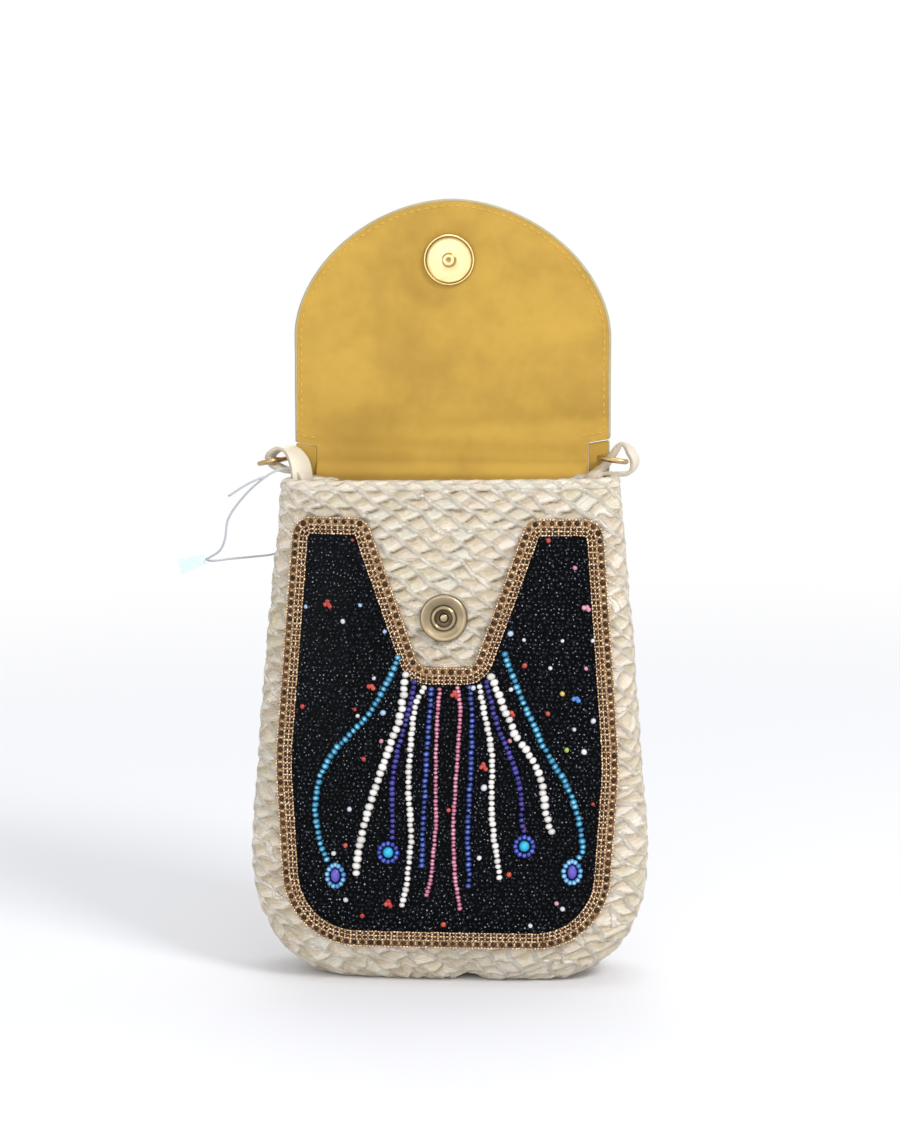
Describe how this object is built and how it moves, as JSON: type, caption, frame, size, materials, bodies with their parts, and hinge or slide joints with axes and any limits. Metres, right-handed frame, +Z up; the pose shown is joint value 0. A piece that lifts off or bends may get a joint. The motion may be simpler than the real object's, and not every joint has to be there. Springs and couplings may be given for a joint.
{
  "type": "crossbody phone bag",
  "caption": "Small upright crossbody phone bag of plaited straw with a bead-embroidered front panel, a magnetic snap flap and strap rings.",
  "frame": {"origin": "middle of the flat base, on the surface that the bag stands on", "axes": "+Z up; +X to the right as the beaded front is looked at; +Y to the back, so the front faces -Y"},
  "size_m": [0.171, 0.047, 0.2798],
  "materials": {
    "straw": "plaited natural straw, cream, matt",
    "binding": "rolled straw edge, matt",
    "lining": "woven cloth, mustard, matt",
    "black_cloth": "backing cloth, matt",
    "black_beads": "opaque black beads, glossy",
    "gold_beads": "dark bronze beads with gold rims, glossy",
    "turquoise_beads": "opaque turquoise beads, glossy",
    "white_beads": "opaque white beads, glossy",
    "violet_beads": "opaque dark blue-violet beads, glossy",
    "blue_beads": "opaque blue beads, glossy",
    "pink_beads": "opaque pink beads, glossy",
    "cabochon": "domed turquoise bead, glossy",
    "gold_metal": "pale gold plating, polished",
    "nickel_metal": "satin nickel plating",
    "magnet": "bare ring magnet",
    "tab_leather": "smooth cream leather, dark at the folds",
    "thread": "pale grey-blue thread",
    "tag_card": "blank pale blue card"
  },
  "bodies": {
    "bag": {"straw_body": "straw", "mouth_binding": "binding", "pocket_lining": "lining", "panel_backing": "black_cloth", "bead_field": "black_beads", "border_row_outer": "gold_beads", "border_row_middle": "gold_beads", "border_row_inner": "gold_beads", "strand_turquoise_left": "turquoise_beads", "strand_turquoise_right": "turquoise_beads", "strand_inner_white_left": "white_beads", "strand_inner_white_right": "white_beads", "strand_outer_white_left": "white_beads", "strand_outer_white_right": "white_beads", "strand_violet_left": "violet_beads", "strand_violet_right": "violet_beads", "rosette_turquoise_left": "violet_beads", "rosette_turquoise_right": "violet_beads", "rosette_violet_left": "violet_beads", "rosette_violet_right": "violet_beads", "strand_blue_left": "blue_beads", "strand_blue_right": "blue_beads", "strand_pink_left": "pink_beads", "strand_pink_right": "pink_beads", "cabochon_turquoise_left": "cabochon", "cabochon_turquoise_right": "cabochon", "cabochon_violet_left": "cabochon", "cabochon_violet_right": "cabochon", "body_snap_cap": "nickel_metal", "body_snap_base": "nickel_metal", "body_snap_washer": "nickel_metal", "body_snap_magnet": "magnet", "left_tab": "tab_leather", "right_tab": "tab_leather", "tag_thread": "thread", "swing_tag": "tag_card"},
    "flap_bridge": {"flap_bridge_straw": "straw", "flap_bridge_lining": "lining"},
    "flap_tongue": {"flap_tongue_straw": "straw", "flap_tongue_lining": "lining", "flap_snap_plate": "gold_metal", "flap_snap_washer": "nickel_metal"},
    "left_ring": {"left_d_ring": "gold_metal"},
    "right_ring": {"right_d_ring": "gold_metal"}
  },
  "joints": [
    {"name": "flap_fold_back", "type": "hinge", "parent": "bag", "child": "flap_bridge", "pos_m": [0, 0.0097, 0.182], "axis": [1, 0, 0], "range_deg": [0, 90]},
    {"name": "flap_fold_front", "type": "hinge", "parent": "flap_bridge", "child": "flap_tongue", "pos_m": [0, 0.0097, 0.20899], "axis": [1, 0, 0], "range_deg": [0, 86.7]},
    {"name": "left_ring_hinge", "type": "hinge", "parent": "bag", "child": "left_ring", "pos_m": [-0.0618, 0.0059, 0.1866], "axis": [0.4061, 0.9138, 0], "range_deg": [-70, 95]},
    {"name": "right_ring_hinge", "type": "hinge", "parent": "bag", "child": "right_ring", "pos_m": [0.0611, 0.0067, 0.1871], "axis": [-0.4061, 0.9138, 0], "range_deg": [-8, 60]}
  ],
  "couplings": [
    {"joint": "flap_fold_front", "follows": "flap_fold_back", "ratio": 0.9633}
  ]
}
